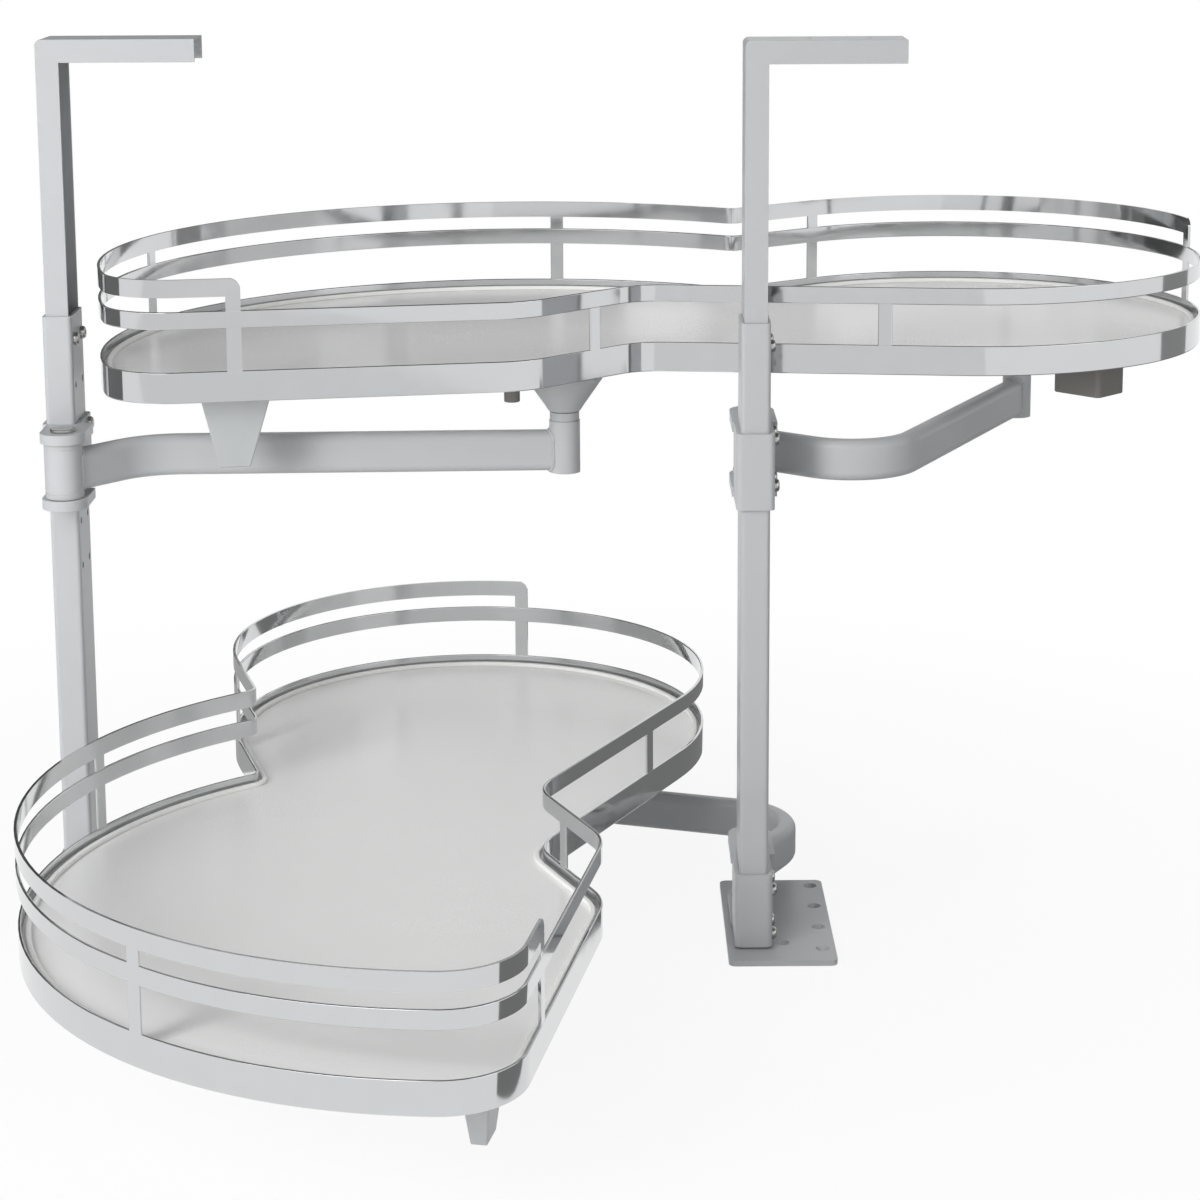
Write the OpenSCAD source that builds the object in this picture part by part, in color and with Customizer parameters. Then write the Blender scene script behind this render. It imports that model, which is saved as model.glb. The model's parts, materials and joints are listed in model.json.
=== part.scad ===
// Two-tier blind corner pull-out: two posts, four swing arms and two kidney trays.
// Millimetres. Origin under the centre of the right post, X right, Y into the
// cabinet, Z up. At rest the upper tray is stowed and the lower tray is swung out.

/* [Posts] */
// Distance between the two posts across the cabinet
post_span = 475; // [460:1:520]
// How far the left post stands behind the right one
post_setback = 44; // [40:1:55]
// Post width seen from the front
post_w = 20; // [18:0.5:24]
// Post depth from front to back
post_d = 44; // [40:0.5:48]
// Wall of the post tube
post_wall = 2; // [1.5:0.1:2.5]
// Height of the tube above the upper hinge bracket
post_over = 74.75; // [60:0.25:110]
// Height of the top bracket above the tube
top_reach = 188; // [120:1:280]
// Length of the top bracket's horizontal leg
leg_l = 107; // [80:1:130]

/* [Plates] */
// Thickness of the base plates
plate_t = 4; // [3:0.5:6]
// Width of a base plate
plate_w = 75; // [70:1:90]
// Depth of a base plate
plate_l = 155; // [145:1:180]
// Diameter of the fixing holes
plate_hole = 6; // [4.5:0.1:7]

/* [Hinges] */
// Height of a hinge bracket
bracket_h = 52.5; // [48:0.5:58]
// Thickness of the bracket's round lugs
lug_t = 7; // [5:0.5:9]
// Outer diameter of the arm's barrel
barrel_d = 25; // [23:0.5:27]
// Diameter of the hinge pins
pin_d = 10; // [8:0.5:11]
// Space between the left post and its barrels
left_gap = 12; // [11:0.5:14]
// Space between the right post and its barrels
right_gap = 26.5; // [23:0.5:29]

/* [Arms] */
// Width of the arm tube
arm_w = 15; // [13:0.5:17]
// Height of the arm tube
arm_h = 28.5; // [24:0.5:30]
// Wall of the arm tube
arm_wall = 2; // [1.5:0.1:2.5]
// Swing of the left arm from stowed to swung out
left_swing = 34.8; // [25:0.1:37]

/* [Trays] */
// Distance between the two tiers
tier_gap = 311; // [290:1:380]
// Radius of the small lobe
lobe_r = 177; // [165:1:185]
// Height of the tray's rim
rim_h = 21; // [18:0.5:26]
// Height of the rail strips
rail_h = 12; // [9:0.5:14]
// Thickness of rim and rails
rail_t = 2; // [1.5:0.1:2.5]
// Top of the lower rail above the rim
low_rail = 40.5; // [36:0.5:46]
// Top of the upper rail above the rim
high_rail = 62; // [60:0.5:80]
// Thickness of the panel
panel_t = 13; // [9:0.5:15]

/* [Hidden] */
$fn = 96;

// Clearances
run_fit = 0.1;
side_gap = 0.3;
slide_fit = 0.2;
open_gap = 0.4;

// Posts
post_r = 3;
strap_t = 3;
strap_r = 4;
foot_gap = 1.75;
hinge_z0 = plate_t + foot_gap + bracket_h / 2;
function hinge_z(k) = hinge_z0 + k * tier_gap;
post_h = hinge_z(1) + bracket_h / 2 + post_over;
left_post = [-post_span, post_setback];
right_post = [0, 0];
screw_row = 16.5;
row_pitch = 32;
row_y = 12.5;
screw_d = 5;
head_d = 9;
head_h = 3.6;
tip_l = 3;
row_top = post_h - screw_row;
rows = [for (z = [row_top:-row_pitch:plate_t + head_d / 2 + 1]) z];
strap_reach = bracket_h / 2 - head_d / 2 - 0.5;
function on_strap(z, k) = abs(z - hinge_z(k)) < strap_reach;
function strap_rows(k) = [for (z = rows) if (on_strap(z, k)) z];
set_low = hinge_z(1) - bracket_h / 2 - 2.25 * row_pitch;
post_rows = [for (z = rows) if (z > set_low || on_strap(z, 0)) z];
far = 2 * (post_span + post_h);

// Base plates
plate_r = 5;
plate_left = 18;
plate_front = 23;
hole_side = 9;
hole_front = 22;
hole_back = 11.5;
hole_pitch = (plate_l - hole_front - hole_back) / 3;
lone_x = 11;
lone_y = 12;

// Top brackets
top_in = 100;
top_t = 2;
top_r = 4;
leg_hole = 5;
leg_holes = [35, 75];

// Hinges
left_off = post_d / 2 + left_gap + barrel_d / 2;
right_off = post_d / 2 + right_gap + barrel_d / 2;
left_dx = 6;
lug_r = barrel_d / 2 + 3;
right_dx = 1.45;
lug_from = row_y + head_d / 2 + 0.5;
pin_head_d = pin_d + 7;
pin_head_h = 2.4;
flange_h = 3.5;
bush_d = pin_d + 6;
bush_in = 11;
barrel_h = bracket_h - 2 * lug_t - 2 * flange_h - 2 * side_gap;
gl = left_post + [left_dx, -left_off];
gr = right_post + [right_dx, right_off];

// Tray placing in the stowed pose and the pivots under it
c0 = [-37.8, 161 + post_d / 2];
sl = [-129.5, 36 + post_d / 2];
sr = [214.5, 224 + post_d / 2];

// Linkage: the left arm's swing gives the tray's turn and the right arm's swing
function dv(a) = [cos(a), sin(a)];
function ang(v) = atan2(v[1], v[0]);
function turn2(a, v) = [v[0] * cos(a) - v[1] * sin(a), v[0] * sin(a) + v[1] * cos(a)];
function up(a) = a < 0 ? a + 360 : a;
bar = norm(sr - sl);
bar_a = ang(sr - sl);
right_len = norm(sr - gr);
out_sl = gl + turn2(-left_swing, sl - gl);
out_d = norm(gr - out_sl);
out_cos = (out_d * out_d + bar * bar - right_len * right_len) / (2 * out_d * bar);
tray_turn = ang(gr - out_sl) + acos(min(1, max(-1, out_cos))) - bar_a;
out_sr = out_sl + turn2(tray_turn, sr - sl);
right_swing = up(ang(out_sr - gr) - ang(sr - gr));
out_c = out_sl - turn2(tray_turn, sl - c0);
echo(tray_turn = tray_turn, right_swing = right_swing, out_sl = out_sl, out_c = out_c);

// Arms
arm_r = 6;
arm_seat = 0.2;
arm_z = arm_seat + (arm_h - barrel_h) / 2;
left_knee = left_post + [54, 6.4];
right_knee = right_post + [85, post_d / 2 - 27];
left_start = gl + [1.5, -1.5];
left_knee_r = 55;
right_knee_r = 46;
bend_lap = 1;
bend_step = 0.03;
weep_d = 5;
weep_in = 30;
weep_out = 24;
tube_d = 21.6;
tube_low = -16.5;
tube_top = 20.5;
boss_low = 27;
boss_r = 27;
boss_neck = 13.5;
boss_tip = 11;

// Tray heights above the hinge centre
rim_low = 53;
rim_top = rim_low + rim_h;
panel_top = rim_low + panel_t;
bead_h = 3;
edge_step = 0.02;
bead_w = 4;
post_strip = 10;
rail_end_a = 6.7;
rail_end_l = 83.5;
rail_end_r = 8;
post_a = [85, 160];
post_b = 125;
post_front = 53;
post_notch = 20;

// Tray outline in the tray's own frame
tray_gap = 14;
lobe_a = [-125.4, -107.6];
lobe_l = post_span - post_w / 2 - tray_gap + c0[0] + lobe_a[0];
front_a = -96.7;
notch_a = 43.9;
left_a = 9.1;
waist_a = 36.5;
front_p = [183.4, -142.4];
notch_p = [-84, -159.5];
left_p = [-221.3, -207.3];
n1 = -dv(front_a);
n2 = dv(notch_a + 90);
n3 = dv(left_a + 90);
n4 = dv(waist_a + 90);
lobe_b = front_p + lobe_r * n1;
r_corner = 48.8;
r_shoulder = 55.3;
r_notch = 38;
r_back = 8;
function cross2(a, b) = a[0] * b[1] - a[1] * b[0];
function meet(a, ka, b, kb) = [ka * b[1] - kb * a[1], a[0] * kb - b[0] * ka] / cross2(a, b);
c_notch = meet(n1, n1 * front_p - r_notch, n2, n2 * notch_p - r_notch);
c_shoulder = meet(n2, n2 * notch_p + r_shoulder, n3, n3 * left_p + r_shoulder);
corner_base = left_p + r_corner * n3;
corner_d = dv(left_a + 180);
corner_w = corner_base - lobe_a;
corner_k = corner_w * corner_d;
corner_s = corner_k * corner_k - corner_w * corner_w + pow(lobe_l - r_corner, 2);
c_corner = corner_base + (sqrt(corner_s) - corner_k) * corner_d;
back_base = lobe_b + (lobe_r + r_back) * n4;
back_w = back_base - lobe_a;
back_k = back_w * dv(waist_a);
back_s = back_k * back_k - back_w * back_w + pow(lobe_l + r_back, 2);
c_back = back_base + (sqrt(back_s) - back_k) * dv(waist_a);
a_back_a = ang(c_back - lobe_a);
a_corner = up(ang(c_corner - lobe_a));
a_left = up(ang(-n3));
a_notch = up(ang(-n2));

// Small pieces under the tray
foot_h = 51;
foot_a = 8;
foot_p = c_corner + [40, -7];
damper_h = 24;
damper_a = 45;
damper_p = lobe_b + (lobe_r - 40) * dv(-55);
peg_h = 16;
peg_d = 11;
peg_p = sl - c0 + [-36, -18];

// Colours
grey = [0.66, 0.67, 0.68];
chrome = [0.82, 0.83, 0.85];
white = [0.95, 0.95, 0.94];
taupe = [0.40, 0.39, 0.37];
steel = [0.72, 0.71, 0.69];

// Shared shapes
module rrect(w, d, r) {
  square([w - 2 * r, d], center = true);
  square([w, d - 2 * r], center = true);
  for (x = [-1, 1]) {
    for (y = [-1, 1]) {
      translate([x * (w / 2 - r), y * (d / 2 - r)]) circle(r);
    }
  }
}

module pie(c, r, a0, a1) {
  translate(c) intersection() {
    circle(r);
    polygon([
      [0, 0], 2 * r * dv(a0), 2 * r * dv(a0 + (a1 - a0) * 0.25),
      2 * r * dv(a0 + (a1 - a0) * 0.5), 2 * r * dv(a0 + (a1 - a0) * 0.75), 2 * r * dv(a1)
    ]);
  }
}

// The straight edges lie a hair inside the round ones, so that they cross cleanly
module tray_area(d) {
  e = edge_step;
  mid_a = (a_back_a + a_corner) / 2;
  difference() {
    union() {
      polygon([
        lobe_b,
        lobe_b + (lobe_r - d - e) * n4,
        c_back - (r_back + d + e) * n4,
        c_back,
        lobe_a + lobe_l * 0.5 * dv(a_back_a - 1),
        lobe_a + lobe_l * 0.2 * dv(mid_a),
        c_corner + r_corner * 0.25 * dv(a_corner - 90),
        c_corner + (r_corner - d - e) * dv(a_left),
        c_shoulder + (r_shoulder - d - e) * dv(a_left),
        c_shoulder + (r_shoulder - d - e) * dv(a_notch),
        c_notch + (r_notch + d + e) * n2,
        c_notch,
        c_notch + (r_notch + d + e) * n1,
        lobe_b + (lobe_r - d - e) * dv(front_a)
      ]);
      translate(lobe_b) circle(lobe_r - d);
      pie(lobe_a, lobe_l - d, a_back_a - 8, a_corner);
      translate(c_corner) circle(r_corner - d + e);
      translate(c_shoulder) circle(r_shoulder - d);
    }
    translate(c_back) circle(r_back + d + 2 * e);
    translate(c_notch) circle(r_notch + d + 2 * e);
  }
}

module tray_band(d0, d1, z, h) {
  translate([0, 0, z]) linear_extrude(h) difference() {
    tray_area(d0);
    tray_area(d1);
  }
}

module pan_screw(l) {
  rotate([0, 90, 0]) rotate_extrude() polygon([
    [0, -l], [screw_d / 2, -l], [screw_d / 2, 0], [head_d / 2, 0], [head_d / 2, head_h * 0.45],
    [head_d * 0.4, head_h * 0.8], [head_d * 0.25, head_h], [0, head_h]
  ]);
}

// Posts, plates and brackets
module plate(dir) {
  difference() {
    translate([plate_w / 2 - plate_left, dir * (plate_l / 2 - post_d / 2 - plate_front), 0])
      linear_extrude(plate_t) rrect(plate_w, plate_l, plate_r);
    for (i = [0:3]) {
      y = hole_front - post_d / 2 - plate_front + hole_pitch * i;
      translate([plate_w - plate_left - hole_side, dir * y, -1])
        cylinder(h = plate_t + 2, d = plate_hole);
    }
    translate([post_w / 2 + lone_x, -dir * lone_y, -1]) cylinder(h = plate_t + 2, d = plate_hole);
  }
}

module post_tube() {
  difference() {
    translate([0, 0, plate_t]) linear_extrude(post_h - plate_t) rrect(post_w, post_d, post_r);
    translate([0, 0, plate_t - 1]) linear_extrude(post_h - plate_t + 2)
      square([post_w - 2 * post_wall, post_d - 2 * post_wall], center = true);
    for (z = post_rows) {
      for (s = [-1, 1]) {
        translate([0, s * row_y, z]) rotate([0, 90, 0]) cylinder(h = post_w, d = screw_d);
      }
    }
  }
}

module top_profile(r) {
  polygon([[-r, 0], [0, 0], [0, r], [far, r], [far, -far], [-r, -far]]);
  circle(r);
}

module top_bracket_shape() {
  w = post_w - 2 * post_wall - 2 * slide_fit;
  d = post_d - 2 * post_wall - 2 * slide_fit;
  top = post_h + top_reach;
  low = post_h - top_in;
  difference() {
    rotate([90, 0, 0]) translate([0, 0, -d / 2]) linear_extrude(d) intersection() {
      union() {
        translate([-w / 2, low]) square([w, top - low]);
        translate([-w / 2, top - w]) square([leg_l, w]);
      }
      translate([-w / 2 + top_r, top - top_r]) top_profile(top_r);
    }
    rotate([90, 0, 0]) translate([0, 0, top_t - d / 2]) linear_extrude(d - 2 * top_t)
      translate([-w / 2 + top_r, top - top_r]) top_profile(top_r - top_t);
    for (s = [-1, 1]) {
      translate([-w, s * row_y, row_top]) rotate([0, 90, 0]) cylinder(h = w, d = screw_d);
    }
    for (x = leg_holes) {
      translate([x, 0, top - top_t - 1]) cylinder(h = top_t + 4, d = leg_hole);
    }
  }
}

module bracket_shape(k, dx, off, side) {
  difference() {
    union() {
      linear_extrude(bracket_h) translate([0, -strap_t / 2])
        rrect(post_w + 2 * strap_t, post_d + strap_t, strap_r);
      for (z = [0, bracket_h - lug_t]) {
        translate([0, 0, z]) linear_extrude(lug_t) {
          translate([dx, off]) circle(lug_r);
          translate([dx - lug_r, lug_from]) square([2 * lug_r, off - lug_from]);
        }
      }
    }
    translate([0, 0, -1]) linear_extrude(bracket_h + 2) rrect(post_w, post_d, post_r);
    translate([-post_w, post_d / 2 - post_r, lug_t])
      cube([2 * post_w, 2 * post_r, bracket_h - 2 * lug_t]);
    translate([dx, off, -1]) cylinder(h = bracket_h + 2, d = pin_d);
    for (z = strap_rows(k)) {
      for (s = [-1, 1]) {
        translate([0, s * row_y, z - hinge_z(k) + bracket_h / 2])
          rotate([0, side * 90, 0]) cylinder(h = post_w, d = screw_d);
      }
    }
  }
}

module right_bracket(k) {
  translate([0, 0, hinge_z(k) - bracket_h / 2]) bracket_shape(k, right_dx, right_off, 1);
}

module left_bracket(k) {
  translate([left_post[0], left_post[1], hinge_z(k) - bracket_h / 2])
    rotate(180) bracket_shape(k, -left_dx, left_off, -1);
}

module hinge_pin(g, k) {
  translate([g[0], g[1], hinge_z(k) - bracket_h / 2]) {
    cylinder(h = bracket_h + 0.5, d = pin_d);
    translate([0, 0, bracket_h]) cylinder(h = pin_head_h, d = pin_head_d);
  }
}

// Arms in the stowed pose, at the hinge's height
module arm_section(t) {
  rrect(arm_w - 2 * t, arm_h - 2 * t, arm_r - t);
}

module straight(p, a, l, t) {
  translate([p[0], p[1], arm_z]) rotate(a) rotate([90, 0, 90]) linear_extrude(l) arm_section(t);
}

module arm_path(p0, k, p1, r, t) {
  a0 = ang(k - p0);
  a1 = ang(p1 - k);
  turn = a1 - a0;
  cut = r * tan(abs(turn) / 2);
  s0 = k - cut * dv(a0);
  s1 = k + cut * dv(a1);
  side = sign(turn);
  c = s0 + r * side * dv(a0 + 90);
  b1 = s1 - bend_lap * dv(a1);
  straight(p0, a0, norm(s0 - p0) + bend_lap, t - bend_step);
  straight(b1, a1, norm(p1 - b1), t - bend_step);
  translate([c[0], c[1], arm_z]) rotate(side > 0 ? a0 - 90 : a1 + 90)
    rotate_extrude(angle = abs(turn)) translate([r, 0]) arm_section(t);
}

module weep(p0, p1, l) {
  p = p0 + l * dv(ang(p1 - p0));
  translate([p[0], p[1], arm_z - arm_h / 2 - 1]) cylinder(h = arm_wall + 2, d = weep_d);
}

module pivot_tube(p, d, more) {
  translate([p[0], p[1], tube_low - more]) cylinder(h = tube_top - tube_low + 2 * more, d = d);
}

module arm_shape(g, p0, k, p1, r) {
  difference() {
    union() {
      arm_path(p0, k, p1, r, 0);
      translate([g[0], g[1], -barrel_h / 2]) cylinder(h = barrel_h, d = barrel_d);
      pivot_tube(p1, tube_d, 0);
    }
    difference() {
      arm_path(p0, k, p1, r, arm_wall);
      translate([g[0], g[1], -barrel_h]) cylinder(h = 2 * barrel_h, d = barrel_d);
      pivot_tube(p1, tube_d, 0);
    }
    translate([g[0], g[1], -barrel_h]) cylinder(h = 2 * barrel_h, d = bush_d);
    pivot_tube(p1, pin_d + 2 * run_fit, 1);
    weep(p0, k, weep_in);
    weep(p1, k, weep_out);
  }
}

module bushes(g) {
  for (m = [0, 1]) {
    mirror([0, 0, m]) translate([g[0], g[1], barrel_h / 2]) difference() {
      union() {
        cylinder(h = flange_h, d = barrel_d + 1);
        translate([0, 0, -bush_in]) cylinder(h = bush_in + 1, d = bush_d);
      }
      translate([0, 0, -bush_in - 1]) cylinder(h = bush_in + flange_h + 2, d = pin_d + 2 * run_fit);
    }
  }
}

module washer_left() {
  translate([sl[0], sl[1], tube_top]) difference() {
    cylinder(h = boss_low - open_gap - tube_top, d = tube_d - 1);
    translate([0, 0, -1]) cylinder(h = boss_low - tube_top + 2, d = pin_d + 2 * run_fit);
  }
}

module washer_right() {
  translate([sr[0], sr[1], tube_top]) cylinder(h = boss_low - open_gap - tube_top, d = tube_d - 1);
  translate([sr[0], sr[1], tube_low + 2])
    cylinder(h = tube_top - tube_low - 1, d = pin_d + 2 * run_fit);
}

// Tray pieces in the tray's own frame, at the hinge's height
module panel() {
  translate([0, 0, rim_low]) linear_extrude(panel_t) tray_area(rail_t);
}

module bead() {
  tray_band(2 * rail_t + 0.4, 2 * rail_t + bead_w, panel_top, bead_h);
}

module low_rail_shape() {
  tray_band(0, rail_t, rim_top + low_rail - rail_h, rail_h);
}

module high_keep(s) {
  e0 = left_end() + s * dv(left_a + 180);
  polygon([
    e0 - r_corner * n3, e0 + r_corner * n3,
    lobe_b + turn2(rail_end_a, [lobe_r / 2, s]), lobe_b + turn2(rail_end_a, [lobe_r * 1.3, s]),
    [far, far], [-far, far], [-far, -far], [e0[0], -far]
  ]);
}

function left_end() = left_p - rail_end_l * dv(left_a);

module end_corner(r) {
  m = r - 0.2;
  w = 15 * rail_t;
  difference() {
    translate([-2, -w, -m]) cube([m + 2, 2 * w, m + 2]);
    translate([m, w + 1, -m]) rotate([90, 0, 0]) cylinder(h = 2 * w + 2, r = r);
  }
}

module high_rail_shape() {
  z = rim_top + high_rail - rail_h;
  e0 = left_end();
  e1 = lobe_b + lobe_r * dv(rail_end_a);
  difference() {
    translate([0, 0, panel_top]) linear_extrude(z + rail_h - panel_top) intersection() {
      difference() {
        tray_area(rail_t);
        tray_area(2 * rail_t);
      }
      high_keep(0);
    }
    translate([0, 0, panel_top - 1]) linear_extrude(z - panel_top + 1) high_keep(post_strip);
    translate([e0[0], e0[1], z + rail_h]) rotate(left_a + 180) end_corner(rail_end_r);
    translate([e1[0], e1[1], z + rail_h]) rotate(rail_end_a + 90) end_corner(rail_end_r);
  }
}

module strip(p, a) {
  w = 15 * rail_t;
  translate(p) rotate(a) translate([-w, -post_strip / 2]) square([2 * w, post_strip]);
}

module post_places(full) {
  if (full) {
    strip(lobe_b + lobe_r * dv(post_b), post_b);
    for (a = post_a) strip(lobe_a + lobe_l * dv(a), a);
  } else {
    strip(front_p + post_front * dv(front_a - 90), front_a);
    strip(notch_p + post_notch * dv(notch_a), notch_a - 90);
  }
}

module rail_post_shape() {
  for (full = [false, true]) {
    top = full ? rim_top + high_rail - rail_h : rim_top + low_rail;
    translate([0, 0, panel_top]) linear_extrude(top - panel_top) intersection() {
      difference() {
        tray_area(rail_t);
        tray_area(2 * rail_t);
      }
      post_places(full);
    }
  }
}

module boss(s) {
  p = s - c0;
  translate([p[0], p[1], 0]) rotate_extrude() polygon([
    [0, boss_low], [boss_tip, boss_low], [boss_neck, boss_low + 4],
    [boss_r, rim_low - 2.5], [boss_r, rim_low], [0, rim_low]
  ]);
}

module pivot_pin() {
  p = sl - c0;
  translate([p[0], p[1], tube_low + 1]) cylinder(h = boss_low - tube_low - 1, d = pin_d);
}

module foot_side(low, high) {
  w = foot_h / 2;
  translate([0, 0, -w]) linear_extrude(2 * w)
    polygon([[low[0], 0], [low[1], 0], [high, foot_h], [-high, foot_h]]);
}

module foot_shape() {
  translate([foot_p[0], foot_p[1], rim_low - foot_h]) rotate(foot_a) intersection() {
    rotate([90, 0, 0]) foot_side([-12, 9], 24);
    rotate([90, 0, 90]) foot_side([-5, 5], 10);
  }
}

module damper_shape() {
  translate([damper_p[0], damper_p[1], rim_low - damper_h]) rotate(damper_a) difference() {
    linear_extrude(damper_h) rrect(32, 40, 4);
    translate([0, 0, -1]) linear_extrude(4) rrect(24, 32, 2);
  }
}

module peg_shape() {
  translate([peg_p[0], peg_p[1], rim_low - peg_h]) cylinder(h = peg_h, d = peg_d);
}

// Placing
module swung(g, a, k) {
  translate([g[0], g[1], hinge_z(k)]) rotate(k == 1 ? 0 : a) translate([-g[0], -g[1], 0]) children();
}

module arm_left_at(k) {
  swung(gl, -left_swing, k) children();
}

module arm_right_at(k) {
  swung(gr, right_swing, k) children();
}

module tray_at(k) {
  c = k == 1 ? c0 : out_c;
  translate([c[0], c[1], hinge_z(k)]) rotate(k == 1 ? 0 : tray_turn) children();
}

// Nodes
module right_base_plate() { color(grey) plate(1); }
module left_base_plate() { color(grey) translate(left_post) plate(-1); }
module right_post_node() { color(grey) post_tube(); }
module left_post_node() { color(grey) translate(left_post) post_tube(); }
module right_top_bracket() { color(grey) top_bracket_shape(); }
module left_top_bracket() { color(grey) translate(left_post) top_bracket_shape(); }
module right_lower_hinge_bracket() { color(grey) right_bracket(0); }
module right_upper_hinge_bracket() { color(grey) right_bracket(1); }
module left_lower_hinge_bracket() { color(grey) left_bracket(0); }
module left_upper_hinge_bracket() { color(grey) left_bracket(1); }

module right_hinge_pins() {
  color(steel) for (k = [0, 1]) hinge_pin(gr, k);
}

module left_hinge_pins() {
  color(steel) for (k = [0, 1]) hinge_pin(gl, k);
}

module screw_pair(p, x, z, l) {
  for (s = [-1, 1]) {
    translate([p[0] + x, p[1] + s * row_y, z]) pan_screw(l);
  }
}

module bracket_screws() {
  color(steel) for (p = [right_post, left_post]) {
    for (z = concat(strap_rows(0), strap_rows(1))) {
      screw_pair(p, post_w / 2 + strap_t, z, strap_t + post_wall + tip_l);
    }
  }
}

module top_screws() {
  color(steel) for (p = [right_post, left_post]) {
    screw_pair(p, post_w / 2, row_top, post_w - post_wall - slide_fit);
  }
}

module upper_left_arm() { color(grey) arm_left_at(1) arm_shape(gl, left_start, left_knee, sl, left_knee_r); }
module upper_left_bushes() { color(grey) arm_left_at(1) bushes(gl); }
module upper_left_washer() { color(grey) arm_left_at(1) washer_left(); }
module upper_right_arm() { color(grey) arm_right_at(1) arm_shape(gr, gr, right_knee, sr, right_knee_r); }
module upper_right_bushes() { color(grey) arm_right_at(1) bushes(gr); }
module upper_right_washer() { color(grey) arm_right_at(1) washer_right(); }
module upper_panel() { color(white) tray_at(1) panel(); }
module upper_bead() { color(white) tray_at(1) bead(); }
module upper_rim() { color(chrome) tray_at(1) tray_band(0, rail_t, rim_low, rim_h); }
module upper_low_rail() { color(chrome) tray_at(1) low_rail_shape(); }
module upper_high_rail() { color(chrome) tray_at(1) high_rail_shape(); }
module upper_rail_posts() { color(chrome) tray_at(1) rail_post_shape(); }
module upper_left_boss() { color(grey) tray_at(1) boss(sl); }
module upper_right_boss() { color(grey) tray_at(1) boss(sr); }
module upper_pivot_pin() { color(steel) tray_at(1) pivot_pin(); }
module upper_stop_foot() { color(grey) tray_at(1) foot_shape(); }
module upper_damper() { color(taupe) tray_at(1) damper_shape(); }
module upper_peg() { color(taupe) tray_at(1) peg_shape(); }
module lower_left_arm() { color(grey) arm_left_at(0) arm_shape(gl, left_start, left_knee, sl, left_knee_r); }
module lower_left_bushes() { color(grey) arm_left_at(0) bushes(gl); }
module lower_left_washer() { color(grey) arm_left_at(0) washer_left(); }
module lower_right_arm() { color(grey) arm_right_at(0) arm_shape(gr, gr, right_knee, sr, right_knee_r); }
module lower_right_bushes() { color(grey) arm_right_at(0) bushes(gr); }
module lower_right_washer() { color(grey) arm_right_at(0) washer_right(); }
module lower_panel() { color(white) tray_at(0) panel(); }
module lower_bead() { color(white) tray_at(0) bead(); }
module lower_rim() { color(chrome) tray_at(0) tray_band(0, rail_t, rim_low, rim_h); }
module lower_low_rail() { color(chrome) tray_at(0) low_rail_shape(); }
module lower_high_rail() { color(chrome) tray_at(0) high_rail_shape(); }
module lower_rail_posts() { color(chrome) tray_at(0) rail_post_shape(); }
module lower_left_boss() { color(grey) tray_at(0) boss(sl); }
module lower_right_boss() { color(grey) tray_at(0) boss(sr); }
module lower_pivot_pin() { color(steel) tray_at(0) pivot_pin(); }
module lower_stop_foot() { color(grey) tray_at(0) foot_shape(); }
module lower_damper() { color(taupe) tray_at(0) damper_shape(); }
module lower_peg() { color(taupe) tray_at(0) peg_shape(); }

right_base_plate();
left_base_plate();
right_post_node();  // right_post
left_post_node();  // left_post
right_top_bracket();
left_top_bracket();
right_lower_hinge_bracket();
right_upper_hinge_bracket();
left_lower_hinge_bracket();
left_upper_hinge_bracket();
right_hinge_pins();
left_hinge_pins();
bracket_screws();
top_screws();
upper_left_arm();
upper_left_bushes();
upper_left_washer();
upper_right_arm();
upper_right_bushes();
upper_right_washer();
upper_panel();
upper_bead();
upper_rim();
upper_low_rail();
upper_high_rail();
upper_rail_posts();
upper_left_boss();
upper_right_boss();
upper_pivot_pin();
upper_stop_foot();
upper_damper();
upper_peg();
lower_left_arm();
lower_left_bushes();
lower_left_washer();
lower_right_arm();
lower_right_bushes();
lower_right_washer();
lower_panel();
lower_bead();
lower_rim();
lower_low_rail();
lower_high_rail();
lower_rail_posts();
lower_left_boss();
lower_right_boss();
lower_pivot_pin();
lower_stop_foot();
lower_damper();
lower_peg();
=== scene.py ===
import bmesh
import bpy
import json
import math
from mathutils import Matrix, Vector
from mathutils.bvhtree import BVHTree

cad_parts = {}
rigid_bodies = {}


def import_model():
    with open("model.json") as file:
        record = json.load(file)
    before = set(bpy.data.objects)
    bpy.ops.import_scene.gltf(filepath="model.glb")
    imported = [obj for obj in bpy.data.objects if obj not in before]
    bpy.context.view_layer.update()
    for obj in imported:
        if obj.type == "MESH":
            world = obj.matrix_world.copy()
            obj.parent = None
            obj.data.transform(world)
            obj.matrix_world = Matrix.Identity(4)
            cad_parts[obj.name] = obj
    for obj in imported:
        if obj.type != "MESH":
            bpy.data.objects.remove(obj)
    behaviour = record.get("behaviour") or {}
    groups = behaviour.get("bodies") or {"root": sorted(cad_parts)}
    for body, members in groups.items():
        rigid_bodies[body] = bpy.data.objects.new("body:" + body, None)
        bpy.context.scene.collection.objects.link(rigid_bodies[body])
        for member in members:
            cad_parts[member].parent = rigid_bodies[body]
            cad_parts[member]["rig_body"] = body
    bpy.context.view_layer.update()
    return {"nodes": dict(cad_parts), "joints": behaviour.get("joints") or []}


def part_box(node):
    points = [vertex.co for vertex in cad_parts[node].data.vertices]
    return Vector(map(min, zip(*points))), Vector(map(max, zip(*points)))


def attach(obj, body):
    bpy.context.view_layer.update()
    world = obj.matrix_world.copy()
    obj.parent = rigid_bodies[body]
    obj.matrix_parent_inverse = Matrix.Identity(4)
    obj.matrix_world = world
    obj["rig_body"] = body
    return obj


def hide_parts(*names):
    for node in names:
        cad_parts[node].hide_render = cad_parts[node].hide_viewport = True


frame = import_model()
scene = bpy.context.scene
scene.view_settings.view_transform = "Standard"
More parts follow.
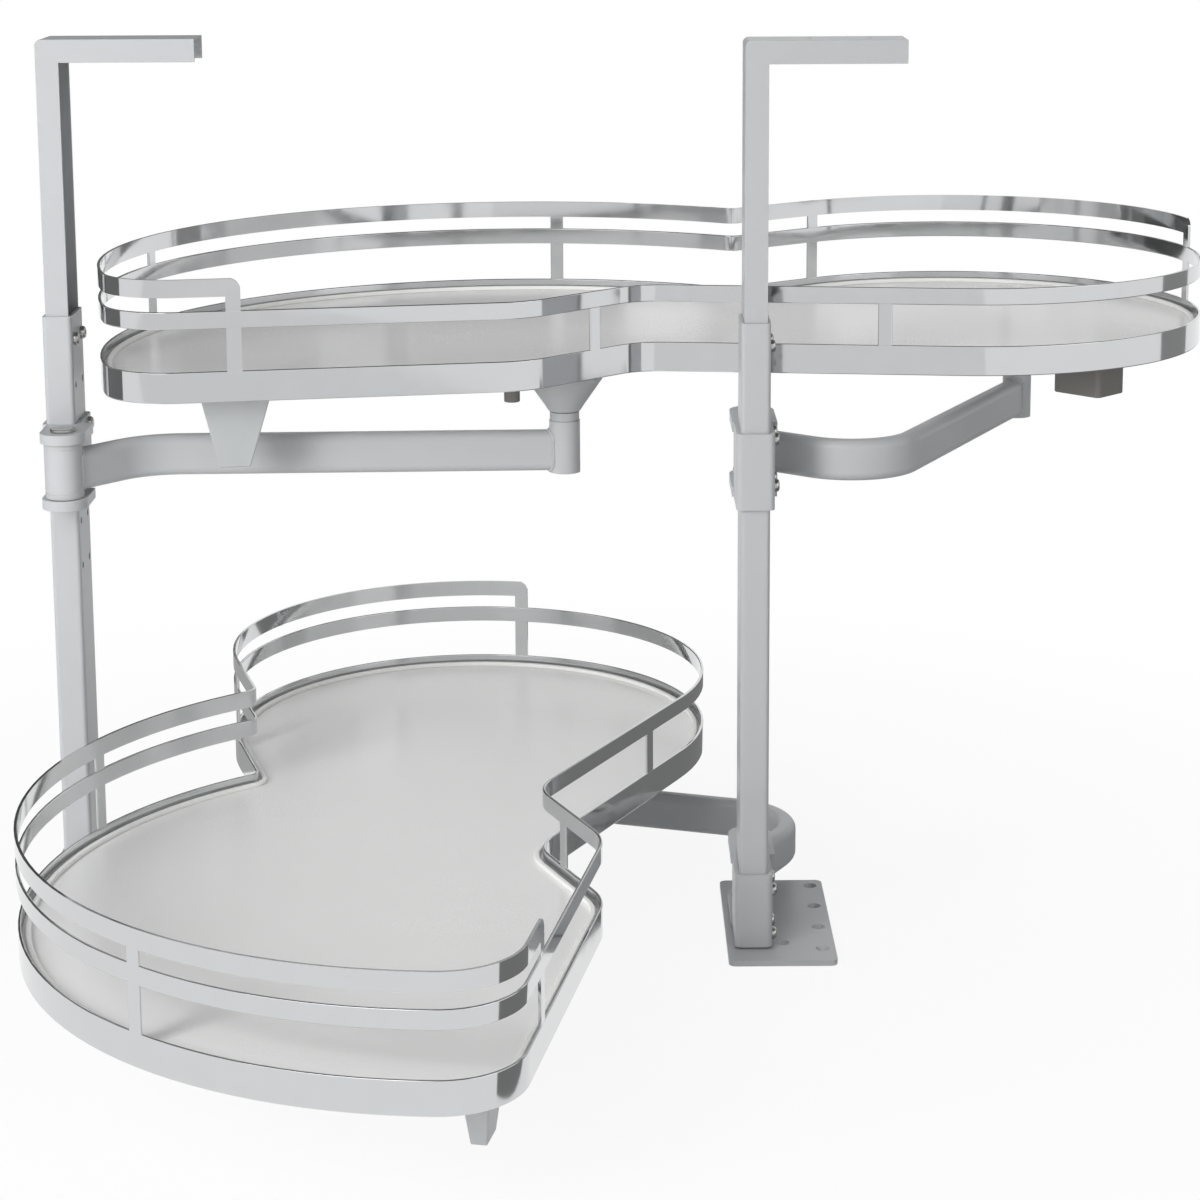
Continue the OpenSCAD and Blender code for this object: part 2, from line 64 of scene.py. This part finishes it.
mm = 0.001  # sizes are in millimetres and angles in degrees unless a note says otherwise


# Camera

photoView = {
    "place": (-105.3, -1902.0, 761.0),
    "pitch": 10.519,  # below level
    "roll": 0.269,
    "yaw": -0.283,
    "sensor": 36.0,
    "lens": 85.75,
    "shift": (-0.0086, -0.19),
    "clip": (0.05, 60.0),  # metres
}


def setCamera(look):
    data = bpy.data.cameras.new("photoCamera")
    data.sensor_width = look["sensor"]
    data.lens = look["lens"]
    data.shift_x, data.shift_y = look["shift"]
    data.clip_start, data.clip_end = look["clip"]
    camera = bpy.data.objects.new("photoCamera", data)
    camera.location = Vector(look["place"]) * mm
    turns = (90 - look["pitch"], look["roll"], look["yaw"])
    camera.rotation_euler = [math.radians(t) for t in turns]
    scene.collection.objects.link(camera)
    scene.camera = camera


setCamera(photoView)
print("camera placed")


# Shader maths: a wire is an output socket that can be used in plain expressions

class Wire:
    def __init__(self, socket):
        self.socket = socket

    def make(self, kind, settings, values, out=0):
        made = self.socket.id_data.nodes.new("ShaderNode" + kind)
        for name, value in settings.items():
            setattr(made, name, value)
        for name, value in values.items():
            plug(made.inputs[name], value)
        return Wire(made.outputs[out])

    def maths(self, operation, first, second):
        return self.make("Math", {"operation": operation}, {0: first, 1: second})

    def __add__(self, other):
        return self.maths("ADD", self, other)

    def __radd__(self, other):
        return self.maths("ADD", other, self)

    def __sub__(self, other):
        return self.maths("SUBTRACT", self, other)

    def __mul__(self, other):
        return self.maths("MULTIPLY", self, other)

    def most(self, other):
        return self.maths("MAXIMUM", self, other)

    def spread(self, low, high, first, last):
        values = {"Value": self, "From Min": low, "From Max": high, "To Min": first, "To Max": last}
        return self.make("MapRange", {"clamp": True}, values)


def plug(socket, value):
    if isinstance(value, Wire):
        socket.id_data.links.new(value.socket, socket)
    else:
        socket.default_value = value


def shaded(colour, change):
    return (*(min(1.0, c * change) for c in colour), 1)


def tint(factor, colour, low, high):
    values = {0: factor, 6: shaded(colour, low), 7: shaded(colour, high)}
    return factor.make("Mix", {"data_type": "RGBA"}, values, 2)


def grain(where, size, detail, stretch=(1, 1, 1)):
    place = where.make("VectorMath", {"operation": "MULTIPLY"}, {0: where, 1: stretch})
    return place.make("TexNoise", {}, {"Vector": place, "Scale": 1 / (size * mm), "Detail": detail})


def sway(noise, reach):
    return (noise - 0.5) * reach


def bumpOf(height, depth, strength):
    values = {"Height": height, "Distance": depth * mm, "Strength": strength}
    return height.make("Bump", {}, values)


def newFinish(name):
    finish = bpy.data.materials.new(name)
    finish.use_nodes = True
    tree = finish.node_tree
    shader = tree.nodes["Principled BSDF"]
    where = Wire(tree.nodes.new("ShaderNodeTexCoord").outputs["Object"])
    return finish, shader, where


# Finishes: a noise is given by its size, its detail and its stretch

coatLook = {
    "colour": (0.478, 0.488, 0.503),
    "tone": (0.965, 1.035),
    "rough": 0.36,
    "cloud": (90.0, 3.0),
    "cloudRough": 0.1,
    "peel": (1.3, 1.5),
    "peelShare": 0.8,
    "fine": (0.39, 1.0),
    "fineShare": 0.2,
    "fineRough": 0.08,
    "depth": 0.05,
    "bump": 0.35,
}


def powderCoat(look):
    finish, shader, where = newFinish("greyPowderCoat")
    cloud, peel, fine = (grain(where, *look[kind]) for kind in ("cloud", "peel", "fine"))
    rough = look["rough"] + sway(cloud, look["cloudRough"]) + sway(fine, look["fineRough"])
    height = peel * look["peelShare"] + fine * look["fineShare"]
    plug(shader.inputs["Base Color"], tint(cloud, look["colour"], *look["tone"]))
    plug(shader.inputs["Roughness"], rough)
    plug(shader.inputs["Normal"], bumpOf(height, look["depth"], look["bump"]))
    return finish


chromeLook = {
    "colour": (0.63, 0.636, 0.645),
    "tone": (0.97, 1.03),
    "haze": (18.0, 4.0),
    "hazeRange": (0.35, 0.75),
    "rough": (0.06, 0.11),
    "wave": (55.0, 1.0, (1, 1, 2.5)),
    "depth": 0.12,
    "bump": 0.25,
}


def polishedChrome(look):
    finish, shader, where = newFinish("polishedChrome")
    haze, wave = (grain(where, *look[kind]) for kind in ("haze", "wave"))
    plug(shader.inputs["Base Color"], tint(haze, look["colour"], *look["tone"]))
    plug(shader.inputs["Metallic"], 1.0)
    plug(shader.inputs["Roughness"], haze.spread(*look["hazeRange"], *look["rough"]))
    plug(shader.inputs["Normal"], bumpOf(wave, look["depth"], look["bump"]))
    return finish


boardLook = {
    "colour": (0.87, 0.87, 0.865),
    "tone": (0.975, 1.02),
    "rough": 0.25,
    "cloud": (130.0, 3.0),
    "cloudRough": 0.06,
    "pearl": (0.9, 2.0),
    "pearlRough": 0.12,
    "depth": 0.02,
    "bump": 0.3,
}


def whiteBoard(look):
    finish, shader, where = newFinish("whiteBoard")
    cloud, pearl = (grain(where, *look[kind]) for kind in ("cloud", "pearl"))
    rough = look["rough"] + sway(pearl, look["pearlRough"]) + sway(cloud, look["cloudRough"])
    plug(shader.inputs["Base Color"], tint(cloud, look["colour"], *look["tone"]))
    plug(shader.inputs["Roughness"], rough)
    plug(shader.inputs["Normal"], bumpOf(pearl, look["depth"], look["bump"]))
    return finish


edgeLook = {
    "colour": (0.95, 0.95, 0.935),
    "tone": (0.97, 1.02),
    "rough": 0.42,
    "draw": (2.2, 2.0, (0.3, 0.3, 2)),
    "drawRough": 0.1,
    "depth": 0.02,
    "bump": 0.3,
}


def whiteEdge(look):
    finish, shader, where = newFinish("whiteEdgeStrip")
    draw = grain(where, *look["draw"])
    plug(shader.inputs["Base Color"], tint(draw, look["colour"], *look["tone"]))
    plug(shader.inputs["Roughness"], look["rough"] + sway(draw, look["drawRough"]))
    plug(shader.inputs["Normal"], bumpOf(draw, look["depth"], look["bump"]))
    return finish


greyPlasticLook = {
    "colour": (0.46, 0.475, 0.48),
    "tone": (0.95, 1.05),
    "rough": 0.46,
    "flow": (24.0, 2.0, (1, 1, 0.5)),
    "flowRough": 0.06,
    "pits": (0.7, 2.5),
    "pitRough": 0.16,
    "depth": 0.05,
    "bump": 0.4,
}
darkPlasticLook = dict(greyPlasticLook, colour=(0.165, 0.16, 0.15), rough=0.5, depth=0.06)


def mouldedPlastic(name, look):
    finish, shader, where = newFinish(name)
    flow, pits = (grain(where, *look[kind]) for kind in ("flow", "pits"))
    rough = look["rough"] + sway(pits, look["pitRough"]) + sway(flow, look["flowRough"])
    plug(shader.inputs["Base Color"], tint(flow, look["colour"], *look["tone"]))
    plug(shader.inputs["Roughness"], rough)
    plug(shader.inputs["Normal"], bumpOf(pits, look["depth"], look["bump"]))
    return finish


zincLook = {
    "colour": (0.44, 0.437, 0.425),
    "tone": (0.88, 1.08),
    "rough": 0.24,
    "spangle": (3.0, 3.0),
    "spangleRough": 0.16,
    "turning": (0.35, 1.0),
    "depth": 0.02,
    "bump": 0.3,
}


def zincPlate(look):
    finish, shader, where = newFinish("zincPlate")
    spangle, turning = (grain(where, *look[kind]) for kind in ("spangle", "turning"))
    plug(shader.inputs["Base Color"], tint(spangle, look["colour"], *look["tone"]))
    plug(shader.inputs["Metallic"], 1.0)
    plug(shader.inputs["Roughness"], look["rough"] + sway(spangle, look["spangleRough"]))
    plug(shader.inputs["Normal"], bumpOf(turning, look["depth"], look["bump"]))
    return finish


greyCoat = powderCoat(coatLook)
chrome = polishedChrome(chromeLook)
board = whiteBoard(boardLook)
edgeStrip = whiteEdge(edgeLook)
greyPlastic = mouldedPlastic("greyPlastic", greyPlasticLook)
darkPlastic = mouldedPlastic("darkPlastic", darkPlasticLook)
zinc = zincPlate(zincLook)
print("finishes made")


# Rounded copies of the construction: the same solids with real edge radii

formLook = {
    "merge": 0.002,  # points closer than this are one
    "flat": 0.4,  # faces with less than this angle between them are one
    "smooth": 50,  # edges under this angle are shaded as a curve
    "wall": 0.1,  # the normal of a wall rises by less than this
    "level": 0.01,  # points closer in height are on one level
}


def mergedShape(node):
    shape = bmesh.new()
    shape.from_mesh(frame["nodes"][node].data)
    bmesh.ops.remove_doubles(shape, verts=shape.verts, dist=formLook["merge"] * mm)
    return shape


def pieceOf(shape, name, smooth):
    mesh = bpy.data.meshes.new(name)
    shape.to_mesh(mesh)
    shape.free()
    for face in mesh.polygons:
        face.use_smooth = True
    mesh.set_sharp_from_angle(angle=math.radians(smooth))
    piece = bpy.data.objects.new(name, mesh)
    scene.collection.objects.link(piece)
    return piece


def seat(piece, node, finish):
    piece.data.materials.clear()
    piece.data.materials.append(finish)
    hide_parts(node)
    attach(piece, frame["nodes"][node]["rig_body"])


def sinkHoles(shape, look):
    low = [min(v.co[i] for v in shape.verts) for i in range(2)]
    high = [max(v.co[i] for v in shape.verts) for i in range(2)]
    brim = max(v.co.z for v in shape.verts) - formLook["level"] * mm
    inward = {}
    for edge in shape.edges:
        walls = [f.normal for f in edge.link_faces if abs(f.normal.z) < formLook["wall"]]
        if len(walls) != 1 or min(v.co.z for v in edge.verts) < brim:
            continue
        across = (edge.verts[0].co + edge.verts[1].co) / 2 + walls[0] * look["hole"] * mm
        if all(low[i] < across[i] < high[i] for i in range(2)):  # a hole's wall faces another wall
            for vert in edge.verts:
                inward[vert] = inward.get(vert, Vector()) + walls[0]
    for vert, normal in inward.items():
        vert.co -= normal.normalized() * look["sink"] * mm


def setFlush(shape, tier, look):  # moves strips from inside the low rail out into its plane
    low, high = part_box(tier + "_low_rail")
    level = (low.z + high.z) / 2
    rail = bmesh.new()
    rail.from_mesh(frame["nodes"][tier + "_low_rail"].data)
    walls = BVHTree.FromBMesh(rail)
    rail.free()
    for vert in shape.verts:
        beside = Vector((vert.co.x, vert.co.y, level))
        _, inward, _, gap = walls.find_nearest(beside)
        step = (look["thick"] - look["spare"]) * mm + look["spare"] * gap
        lift = 0.0
        if vert.co.z > level:  # tall ends reach into the high rail, low ones stay in the low rail
            tall = vert.co.z > high.z + formLook["level"] * mm
            lift = look["lap"] if tall else -look["lap"]
        vert.co += Vector((0, 0, lift * mm)) - inward * step


def roundedCopy(node, look):
    shape = mergedShape(node)
    flat = math.radians(formLook["flat"])
    bmesh.ops.dissolve_limit(shape, angle_limit=flat, verts=shape.verts, edges=shape.edges)
    if "sink" in look:
        sinkHoles(shape, look)
    if "lap" in look:
        setFlush(shape, node.split("_")[0], look)
    corner = math.radians(look["corner"])
    sharp = [e for e in shape.edges if len(e.link_faces) == 2 and e.calc_face_angle() > corner]
    bmesh.ops.bevel(
        shape, geom=sharp, offset=look["edge"] * mm, offset_type="OFFSET", segments=look["steps"],
        profile=0.5, affect="EDGES", clamp_overlap=True
    )
    piece = pieceOf(shape, node + "_form", formLook["smooth"])
    weigh = piece.modifiers.new("evenNormals", "WEIGHTED_NORMAL")
    weigh.keep_sharp = True
    seat(piece, node, look["finish"])


tiers = ("upper", "lower")
sides = ("right", "left")
hingeEdges = {"edge": 0.6, "steps": 3, "corner": 35, "finish": greyCoat, "slot": "grey_steel"}
plateEdges = dict(hingeEdges, hole=6.0, sink=1.8)
postEdges = dict(hingeEdges, edge=0.35, steps=2)
armEdges = dict(hingeEdges, edge=0.5)
chromeEdges = {"edge": 0.8, "steps": 4, "corner": 35, "finish": chrome, "slot": "chrome"}
highRailEdges = dict(chromeEdges, thick=2.0, spare=0.05, lap=0.0)
uprightEdges = dict(chromeEdges, thick=2.0, spare=0.12, lap=0.8)
boardEdges = {"edge": 0.5, "steps": 2, "corner": 35, "finish": board, "slot": "white_panel"}
beadEdges = {"edge": 0.9, "steps": 4, "corner": 35, "finish": edgeStrip, "slot": "white_edge"}
bushEdges = {"edge": 0.5, "steps": 3, "corner": 35, "finish": greyPlastic, "slot": "grey_plastic"}
mouldEdges = dict(bushEdges, edge=1.0, corner=28)
damperEdges = {"edge": 0.9, "steps": 3, "corner": 35, "finish": darkPlastic, "slot": "dark_plastic"}
pinEdges = {"edge": 0.5, "steps": 3, "corner": 35, "finish": zinc, "slot": "steel"}

for side in sides:
    roundedCopy(side + "_base_plate", plateEdges)
    roundedCopy(side + "_post", postEdges)
    roundedCopy(side + "_top_bracket", postEdges)
    roundedCopy(side + "_hinge_pins", pinEdges)
    for tier in tiers:
        roundedCopy(side + "_" + tier + "_hinge_bracket", hingeEdges)
print("posts, plates and brackets rounded")

for tier in tiers:
    for side in sides:
        roundedCopy(tier + "_" + side + "_arm", armEdges)
        roundedCopy(tier + "_" + side + "_bushes", bushEdges)
        roundedCopy(tier + "_" + side + "_washer", bushEdges)
        roundedCopy(tier + "_" + side + "_boss", mouldEdges)
    roundedCopy(tier + "_rim", chromeEdges)
    roundedCopy(tier + "_low_rail", chromeEdges)
    roundedCopy(tier + "_high_rail", highRailEdges)
    roundedCopy(tier + "_rail_posts", uprightEdges)
    roundedCopy(tier + "_panel", boardEdges)
    roundedCopy(tier + "_bead", beadEdges)
    roundedCopy(tier + "_pivot_pin", pinEdges)
    roundedCopy(tier + "_stop_foot", mouldEdges)
    roundedCopy(tier + "_damper", damperEdges)
    roundedCopy(tier + "_peg", damperEdges)
print("arms and trays rounded")


# Pan-head screws with a cross recess, one on each screw of the construction

strapScrew = {
    "shank": 8.0,
    "bore": 2.5,
    "tip": 1.75,  # radius at the shank's end
    "taper": 0.8,
    "head": 4.5,
    "rise": 3.6,
    "chamfer": 0.15,
    "rim": 1.1,
    "domeSteps": 8,
    "land": 0.45,  # flat ring round the recess
    "cross": 2.0,
    "slot": 0.55,
    "deep": 1.9,
    "floorCross": 1.1,
    "floorSlot": 0.385,
    "sides": 28,
    "turn": 37,  # from one screw to the next
    "smooth": 40,
}
topScrew = dict(strapScrew, shank=17.8)


def ringOf(shape, x, radius, count):
    turn = 2 * math.pi / count
    return [
        shape.verts.new(Vector((x, radius * math.cos(i * turn), radius * math.sin(i * turn))) * mm)
        for i in range(count)
    ]


def crossOf(shape, x, reach, half):
    quarter = [(reach, -half), (reach, half), (half, half)]
    points = []
    for cos, sin in ((1, 0), (0, 1), (-1, 0), (0, -1)):
        points += [(u * cos - v * sin, u * sin + v * cos) for u, v in quarter]
    return [shape.verts.new(Vector((x, u, v)) * mm) for u, v in points]


def bridge(shape, first, second):
    count = len(first)
    for i in range(count):
        j = (i + 1) % count
        shape.faces.new((first[i], first[j], second[j], second[i]))


def loopEdges(shape, ring):
    return [
        shape.edges.get((a, b)) or shape.edges.new((a, b))
        for a, b in zip(ring, ring[1:] + ring[:1])
    ]


def screwShape(look):
    shape = bmesh.new()
    shank, bore, head, rise, rim = (look[n] for n in ("shank", "bore", "head", "rise", "rim"))
    flat = look["cross"] + look["land"]
    profile = [(-shank, look["tip"]), (look["taper"] - shank, bore), (0.0, bore)]
    profile += [(0.0, head - look["chamfer"]), (look["chamfer"], head), (rim, head)]
    for i in range(1, look["domeSteps"]):  # crown from the rim to the flat top
        lean = math.radians(90 * i / look["domeSteps"])
        across = flat + (head - flat) * math.cos(lean)
        profile.append((rim + (rise - rim) * math.sin(lean), across))
    profile.append((rise, flat))
    rings = [ringOf(shape, x, radius, look["sides"]) for x, radius in profile]
    shape.faces.new(rings[0])
    for first, second in zip(rings, rings[1:]):
        bridge(shape, first, second)
    mouth = crossOf(shape, rise, look["cross"], look["slot"])
    floor = crossOf(shape, rise - look["deep"], look["floorCross"], look["floorSlot"])
    edges = loopEdges(shape, rings[-1]) + loopEdges(shape, mouth)
    bmesh.ops.triangle_fill(shape, use_beauty=True, use_dissolve=False, edges=edges)
    bridge(shape, mouth, floor)
    shape.faces.new(floor)
    bmesh.ops.recalc_face_normals(shape, faces=shape.faces)
    mesh = bpy.data.meshes.new("screwForm")
    shape.to_mesh(mesh)
    shape.free()
    return mesh


def islands(node):
    shape = mergedShape(node)
    left = set(shape.verts)
    boxes = []
    while left:
        group, waiting = [], [left.pop()]
        while waiting:
            vert = waiting.pop()
            group.append(vert.co)
            for edge in vert.link_edges:
                other = edge.other_vert(vert)
                if other in left:
                    left.remove(other)
                    waiting.append(other)
        low = [min(c[i] for c in group) for i in range(3)]
        high = [max(c[i] for c in group) for i in range(3)]
        boxes.append((Vector(low), Vector(high)))
    shape.free()
    return sorted(boxes, key=lambda box: tuple(round(c, 5) for c in box[0]))


def screwSet(node, look):
    form = screwShape(look)
    shape = bmesh.new()
    for number, (low, high) in enumerate(islands(node)):
        middle = (low + high) / 2
        place = Matrix.Translation((high.x - look["rise"] * mm, middle.y, middle.z))
        turn = Matrix.Rotation(math.radians(look["turn"] * number), 4, "X")
        copy = form.copy()
        copy.transform(place @ turn)
        shape.from_mesh(copy)
        bpy.data.meshes.remove(copy)
    bpy.data.meshes.remove(form)
    piece = pieceOf(shape, node + "_form", look["smooth"])
    seat(piece, node, zinc)


screwSet("bracket_screws", strapScrew)
screwSet("top_screws", topScrew)
print("screws made")


# Weld seams where the arm tubes meet their barrels and pivot tubes

armTube = {
    "width": 15.0,
    "height": 28.5,
    "corner": 6.0,
    "middle": -1.0,  # height of the tube's middle above the hinge point
    "barrel": 12.5,
    "pivot": 10.8,
}
armLeans = {  # between the line from barrel to pivot and the tube's own line at either end
    "left": {"barrel": 39.373, "pivot": -8.610, "aside": -2.115},
    "right": {"barrel": -79.273, "pivot": 21.744, "aside": 0.0},
}
weldLook = {"bead": 1.25, "ripple": 0.16, "pitch": 2.6, "step": 0.65, "sides": 8, "smooth": 70}
swings = {joint["name"]: joint["pos_m"] for joint in frame["joints"]}


def tubeOutline(look, step):
    w, h, r = look["width"] / 2, look["height"] / 2, look["corner"]
    corners = [(w - r, h - r, 0), (r - w, h - r, 90), (r - w, r - h, 180), (w - r, r - h, 270)]
    count = max(3, round(r * math.pi / 2 / step))
    bends = []
    for x, z, start in corners:
        arc = [math.radians(start + 90 * i / count) for i in range(count + 1)]
        bends.append([(x + r * math.cos(a), z + r * math.sin(a)) for a in arc])
    points = []
    for bend, following in zip(bends, bends[1:] + bends[:1]):
        (x, z), (goalX, goalZ) = bend[-1], following[0]
        run = max(1, round(math.dist(bend[-1], following[0]) / step))
        points += bend
        points += [(x + (goalX - x) * i / run, z + (goalZ - z) * i / run) for i in range(1, run)]
    return points


def weldSeam(shape, centre, angle, offset, radius):
    along = Vector((math.cos(math.radians(angle)), math.sin(math.radians(angle))))
    aside = Vector((-along.y, along.x))
    path = []
    for u, w in tubeOutline(armTube, weldLook["step"]):
        reach = math.sqrt(radius * radius - (u + offset) ** 2)
        at = centre.xy + aside * (u + offset) + along * reach
        path.append(Vector((at.x, at.y, centre.z + armTube["middle"] + w)))
    middle = sum(path, Vector()) / len(path)
    turns = [2 * math.pi * k / weldLook["sides"] for k in range(weldLook["sides"])]
    run, rings = 0.0, []
    for behind, point, ahead in zip(path[-1:] + path, path, path[1:] + path[:1]):
        run += (point - behind).length
        tangent = (ahead - behind).normalized()
        out = (point - middle).normalized()
        out = (out - tangent * out.dot(tangent)).normalized()
        up = tangent.cross(out)
        wave = math.sin(2 * math.pi * run / weldLook["pitch"])
        size = weldLook["bead"] * (1 + weldLook["ripple"] * wave)
        spokes = [(out * math.cos(a) + up * math.sin(a)) * size for a in turns]
        rings.append([shape.verts.new((point + spoke) * mm) for spoke in spokes])
    for first, second in zip(rings, rings[1:] + rings[:1]):
        bridge(shape, first, second)


def armWelds(tier, side):
    arm = tier + "_" + side
    hinge = Vector(swings[arm + "_swing"]) / mm
    low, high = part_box(arm + "_washer")
    pivot = (low + high) / 2 / mm
    pivot.z = hinge.z
    line = math.degrees(math.atan2(pivot.y - hinge.y, pivot.x - hinge.x))
    lean = armLeans[side]
    shape = bmesh.new()
    weldSeam(shape, hinge, line + lean["barrel"], lean["aside"], armTube["barrel"])
    weldSeam(shape, pivot, line + 180 + lean["pivot"], 0.0, armTube["pivot"])
    bmesh.ops.recalc_face_normals(shape, faces=shape.faces)
    piece = pieceOf(shape, arm + "_arm_welds", weldLook["smooth"])
    piece.data.materials.append(greyCoat)
    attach(piece, arm + "_arm_body")


for tier in tiers:
    for side in sides:
        armWelds(tier, side)
print("weld seams laid")


# Stage, in metres: pale floor, white surround, grey cards and soft lamps

floorLook = {
    "place": (-0.2, 0.0, -0.0005),
    "half": 12.0,
    "colour": (0.88, 0.88, 0.88),
    "rough": 0.9,
    "specular": 0.1,
    "glow": 0.9,
    "fade": (0.35, 0.95),
}


def lightPath(tree):
    path = tree.nodes.new("ShaderNodeLightPath")
    seen = Wire(path.outputs["Is Camera Ray"])
    mirrored = Wire(path.outputs["Is Glossy Ray"])
    through = Wire(path.outputs["Is Transmission Ray"])
    return seen.most(mirrored).most(through)


def sheet(name, corners, finish):
    mesh = bpy.data.meshes.new(name)
    mesh.from_pydata(corners, [], [(0, 1, 2, 3)])
    mesh.materials.append(finish)
    plane = bpy.data.objects.new(name, mesh)
    scene.collection.objects.link(plane)
    return plane


def paleFloor(look):
    finish, shader, where = newFinish("paleFloor")
    tree = finish.node_tree
    shader.inputs["Base Color"].default_value = (*look["colour"], 1)
    shader.inputs["Roughness"].default_value = look["rough"]
    shader.inputs["Specular IOR Level"].default_value = look["specular"]
    far = where.make("VectorMath", {"operation": "LENGTH"}, {0: where}, "Value")
    amount = lightPath(tree) * far.spread(*look["fade"], look["glow"], 1.0)
    glow = where.make("Emission", {}, {"Color": (1, 1, 1, 1), "Strength": 1.0})
    mixed = where.make("MixShader", {}, {0: amount, 1: Wire(shader.outputs[0]), 2: glow})
    plug(tree.nodes["Material Output"].inputs["Surface"], mixed)
    half = look["half"]
    corners = [(-half, -half, 0), (half, -half, 0), (half, half, 0), (-half, half, 0)]
    floor = sheet("floor", corners, finish)
    floor.location = look["place"]


surroundLook = {"ambient": 0.34}


def whiteSurround(look):
    world = bpy.data.worlds.new("whiteSurround")
    scene.world = world
    world.use_nodes = True
    tree = world.node_tree
    back = tree.nodes["Background"]
    back.inputs["Color"].default_value = (1, 1, 1, 1)
    shown = lightPath(tree)
    plug(back.inputs["Strength"], look["ambient"] + shown * (1 - look["ambient"]))


# Cards that show only as mirror images, so that the chrome's bends read against the white
cards = {
    "leftCard": {"low": (-2.0, -0.1, 0.0), "high": (-2.0, 1.2, 1.7), "grey": 0.18},
    "leftBackCard": {"low": (-2.0, 1.2, 0.0), "high": (-0.9, 4.2, 1.7), "grey": 0.08},
    "rightCard": {"low": (2.0, 0.5, 0.0), "high": (2.0, 1.5, 1.7), "grey": 0.3},
    "backCardLeft": {"low": (-0.62, 0.8, 0.44), "high": (-0.08, 0.8, 1.05), "grey": 0.15},
    "backCardRight": {"low": (0.0, 0.8, 0.44), "high": (0.1, 0.8, 0.66), "grey": 0.5},
    "frontCard": {"low": (-2.5, -3.6, 0.001), "high": (0.35, -1.4, 0.001), "grey": 0.85},
    "sideCard": {"low": (0.03, -0.5, 0.001), "high": (1.9, 1.6, 0.001), "grey": 0.22},
    "notchCard": {"low": (-1.3, 0.35, 0.001), "high": (-0.4, 1.3, 0.001), "grey": 0.42},
    "ceilingCard": {"low": (-2.5, -2.0, 2.0), "high": (2.0, 2.0, 2.0), "grey": 0.12},
}


def greyCard(name, look):
    (x0, y0, z0), (x1, y1, z1) = look["low"], look["high"]
    if z0 == z1:
        corners = [(x0, y0, z0), (x1, y0, z0), (x1, y1, z0), (x0, y1, z0)]
    else:
        corners = [(x0, y0, z0), (x1, y1, z0), (x1, y1, z1), (x0, y0, z1)]
    finish, shader, where = newFinish(name)
    glow = where.make("Emission", {}, {"Color": (look["grey"],) * 3 + (1,), "Strength": 1.0})
    plug(finish.node_tree.nodes["Material Output"].inputs["Surface"], glow)
    card = sheet(name, corners, finish)
    card.visible_camera = False
    card.visible_diffuse = False
    card.visible_shadow = False
    card.visible_transmission = False


lamps = {
    "key": {
        "place": (-1.7, -2.3, 2.3), "aim": (-0.25, 0.0, 0.25),
        "size": (2.2, 1.6), "power": 32, "mirrored": True,
    },
    "wash": {
        "place": (-1.3, -1.5, 0.8), "aim": (-0.47, 0.04, 0.4),
        "size": (0.6, 0.9), "power": 20, "mirrored": False,
    },
    "fill": {
        "place": (2.2, -1.9, 1.5), "aim": (-0.1, 0.0, 0.3),
        "size": (1.8, 1.8), "power": 8, "mirrored": True,
    },
    "top": {
        "place": (-0.2, 0.5, 2.6), "aim": (-0.2, 0.0, 0.2),
        "size": (2.0, 2.0), "power": 6, "mirrored": True,
    },
}


def softLamp(name, look):
    data = bpy.data.lights.new(name, "AREA")
    data.shape = "RECTANGLE"
    data.size, data.size_y = look["size"]
    data.energy = look["power"]
    lamp = bpy.data.objects.new(name, data)
    lamp.location = look["place"]
    beam = Vector(look["aim"]) - lamp.location
    lamp.rotation_euler = beam.to_track_quat("-Z", "Y").to_euler()
    lamp.visible_glossy = look["mirrored"]
    scene.collection.objects.link(lamp)


paleFloor(floorLook)
whiteSurround(surroundLook)
for name, look in cards.items():
    greyCard(name, look)
for name, look in lamps.items():
    softLamp(name, look)
print("stage and lamps set")
